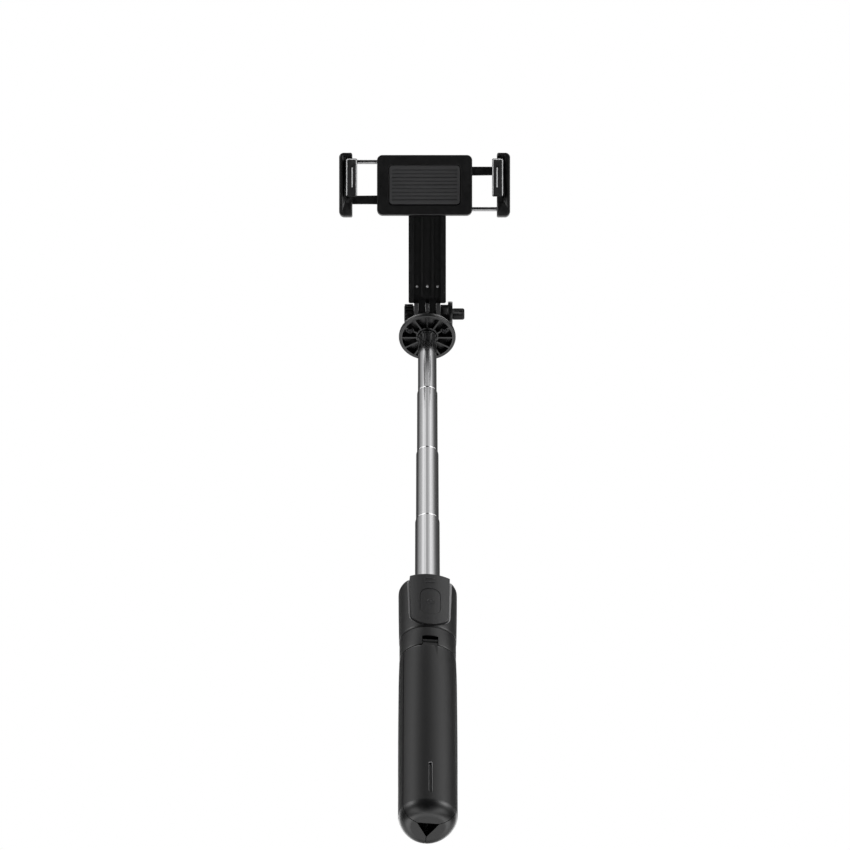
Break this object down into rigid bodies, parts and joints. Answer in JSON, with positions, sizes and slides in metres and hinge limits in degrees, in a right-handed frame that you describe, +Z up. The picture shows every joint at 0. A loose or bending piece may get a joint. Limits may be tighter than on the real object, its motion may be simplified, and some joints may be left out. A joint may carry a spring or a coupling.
{
  "type": "selfie stick",
  "caption": "Extending selfie stick with a handle of folding tripod legs, a docked remote, nested sliding tubes and a tilting spring clamp for a phone.",
  "frame": {"origin": "on the stick's axis, level with the lower end of the three closed legs", "axes": "+Z up along the stick, -Y to the front where the remote faces, +X to the right of someone facing the front"},
  "size_m": [0.0968, 0.0966, 0.4662],
  "materials": {
    "satin_black": "satin moulded plastic, fine grain",
    "dark_grey": "satin moulded plastic, a little lighter",
    "inner_black": "dull black plastic",
    "polished_steel": "polished drawn stainless steel",
    "fastener_steel": "plain steel",
    "soft_rubber": "matt soft rubber",
    "circuit_board": "green resist",
    "battery_cell": "steel can",
    "light_pipe": "clear moulded plastic"
  },
  "bodies": {
    "handle": {"upper_housing": "satin_black", "leg_collar": "dark_grey", "collar_screw_1": "fastener_steel", "collar_screw_2": "fastener_steel", "collar_screw_3": "fastener_steel", "guide_ring": "dark_grey", "centre_tube": "polished_steel", "centre_plug": "inner_black", "leg_front_pin": "fastener_steel", "leg_left_pin": "fastener_steel", "leg_right_pin": "fastener_steel"},
    "leg_front": {"leg_front": "satin_black"},
    "leg_right": {"leg_right": "satin_black"},
    "leg_left": {"leg_left": "satin_black"},
    "tube_4": {"tube_4": "polished_steel", "tube_4_end_ring": "dark_grey"},
    "tube_3": {"tube_3": "polished_steel", "tube_3_end_ring": "dark_grey"},
    "tube_2": {"tube_2": "polished_steel", "tube_2_end_ring": "dark_grey"},
    "head_base": {"tube_1": "polished_steel", "tube_1_end_ring": "dark_grey", "tube_top_plug": "inner_black", "ribbed_disc": "satin_black", "disc_screw_left": "fastener_steel", "disc_screw_right": "fastener_steel", "hinge_base": "satin_black", "nut_knob": "satin_black", "hinge_nut": "fastener_steel"},
    "thumb_screw": {"thumb_knob": "satin_black", "hinge_bolt": "fastener_steel"},
    "holder": {"holder_arm": "satin_black"},
    "clamp": {"clamp_back_shell": "satin_black", "clamp_front_cover": "satin_black", "clamp_pad": "soft_rubber", "clamp_screw_left": "fastener_steel", "clamp_screw_right": "fastener_steel", "clamp_spring_left": "fastener_steel", "clamp_spring_right": "fastener_steel", "swivel_screw": "fastener_steel", "swivel_washer": "fastener_steel"},
    "arm_right": {"clamp_arm_right": "satin_black", "guide_rod_right": "fastener_steel", "jaw_right": "dark_grey", "jaw_right_pad": "soft_rubber"},
    "arm_left": {"clamp_arm_left": "satin_black", "guide_rod_left": "fastener_steel", "jaw_left": "dark_grey", "jaw_left_pad": "soft_rubber"},
    "pinion": {"clamp_pinion": "dark_grey"},
    "remote": {"remote_front_shell": "dark_grey", "remote_back_cover": "dark_grey", "remote_board": "circuit_board", "tact_switch": "fastener_steel", "remote_battery": "battery_cell", "led_pipe": "light_pipe"},
    "shutter_button": {"shutter_button": "dark_grey"}
  },
  "joints": [
    {"name": "leg_front_hinge", "type": "hinge", "parent": "handle", "child": "leg_front", "pos_m": [0.00117, -0.01114, 0.1204], "axis": [-0.9945, -0.1045, 0], "range_deg": [0, 60]},
    {"name": "leg_right_hinge", "type": "hinge", "parent": "handle", "child": "leg_right", "pos_m": [0.00906, 0.00658, 0.1204], "axis": [0.5878, -0.809, 0], "range_deg": [0, 60]},
    {"name": "leg_left_hinge", "type": "hinge", "parent": "handle", "child": "leg_left", "pos_m": [-0.01023, 0.00456, 0.1204], "axis": [0.4067, 0.9135, 0], "range_deg": [0, 60]},
    {"name": "tube_4_slide", "type": "slide", "parent": "handle", "child": "tube_4", "axis": [0, 0, 1], "range_m": [-0.057, 0.074]},
    {"name": "tube_3_slide", "type": "slide", "parent": "tube_4", "child": "tube_3", "axis": [0, 0, 1], "range_m": [-0.054, 0.073]},
    {"name": "tube_2_slide", "type": "slide", "parent": "tube_3", "child": "tube_2", "axis": [0, 0, 1], "range_m": [-0.05, 0.073]},
    {"name": "tube_1_slide", "type": "slide", "parent": "tube_2", "child": "head_base", "axis": [0, 0, 1], "range_m": [-0.048, 0.07]},
    {"name": "thumb_turn", "type": "hinge", "parent": "head_base", "child": "thumb_screw", "pos_m": [0, 0, 0.4066], "axis": [1, 0, 0], "continuous": true},
    {"name": "fold", "type": "hinge", "parent": "head_base", "child": "holder", "pos_m": [0, 0, 0.4066], "axis": [1, 0, 0], "range_deg": [-140, 80]},
    {"name": "swivel", "type": "hinge", "parent": "holder", "child": "clamp", "pos_m": [-0.0015, -0.05584, 0.45346], "axis": [0, -0.6428, -0.766], "continuous": true},
    {"name": "arm_right_slide", "type": "slide", "parent": "clamp", "child": "arm_right", "axis": [1, 0, 0], "range_m": [-0.012, 0.0045], "deforming": ["clamp_spring_right"]},
    {"name": "arm_left_slide", "type": "slide", "parent": "clamp", "child": "arm_left", "axis": [-1, 0, 0], "range_m": [-0.012, 0.0045], "deforming": ["clamp_spring_left"]},
    {"name": "pinion_turn", "type": "hinge", "parent": "clamp", "child": "pinion", "pos_m": [-0.0015, -0.05584, 0.45346], "axis": [0, -0.6428, -0.766], "range_deg": [-54, 144]},
    {"name": "remote_slide", "type": "slide", "parent": "handle", "child": "remote", "axis": [0, 0, 1], "range_m": [0, 0.03]},
    {"name": "shutter_press", "type": "slide", "parent": "remote", "child": "shutter_button", "axis": [-0.1045, 0.9945, 0], "range_m": [0, 0.00035], "stiffness_N_per_m": 1500}
  ],
  "couplings": [
    {"joint": "arm_left_slide", "follows": "arm_right_slide", "ratio": 1},
    {"joint": "pinion_turn", "follows": "arm_right_slide", "rad_per_m": -208.33}
  ]
}
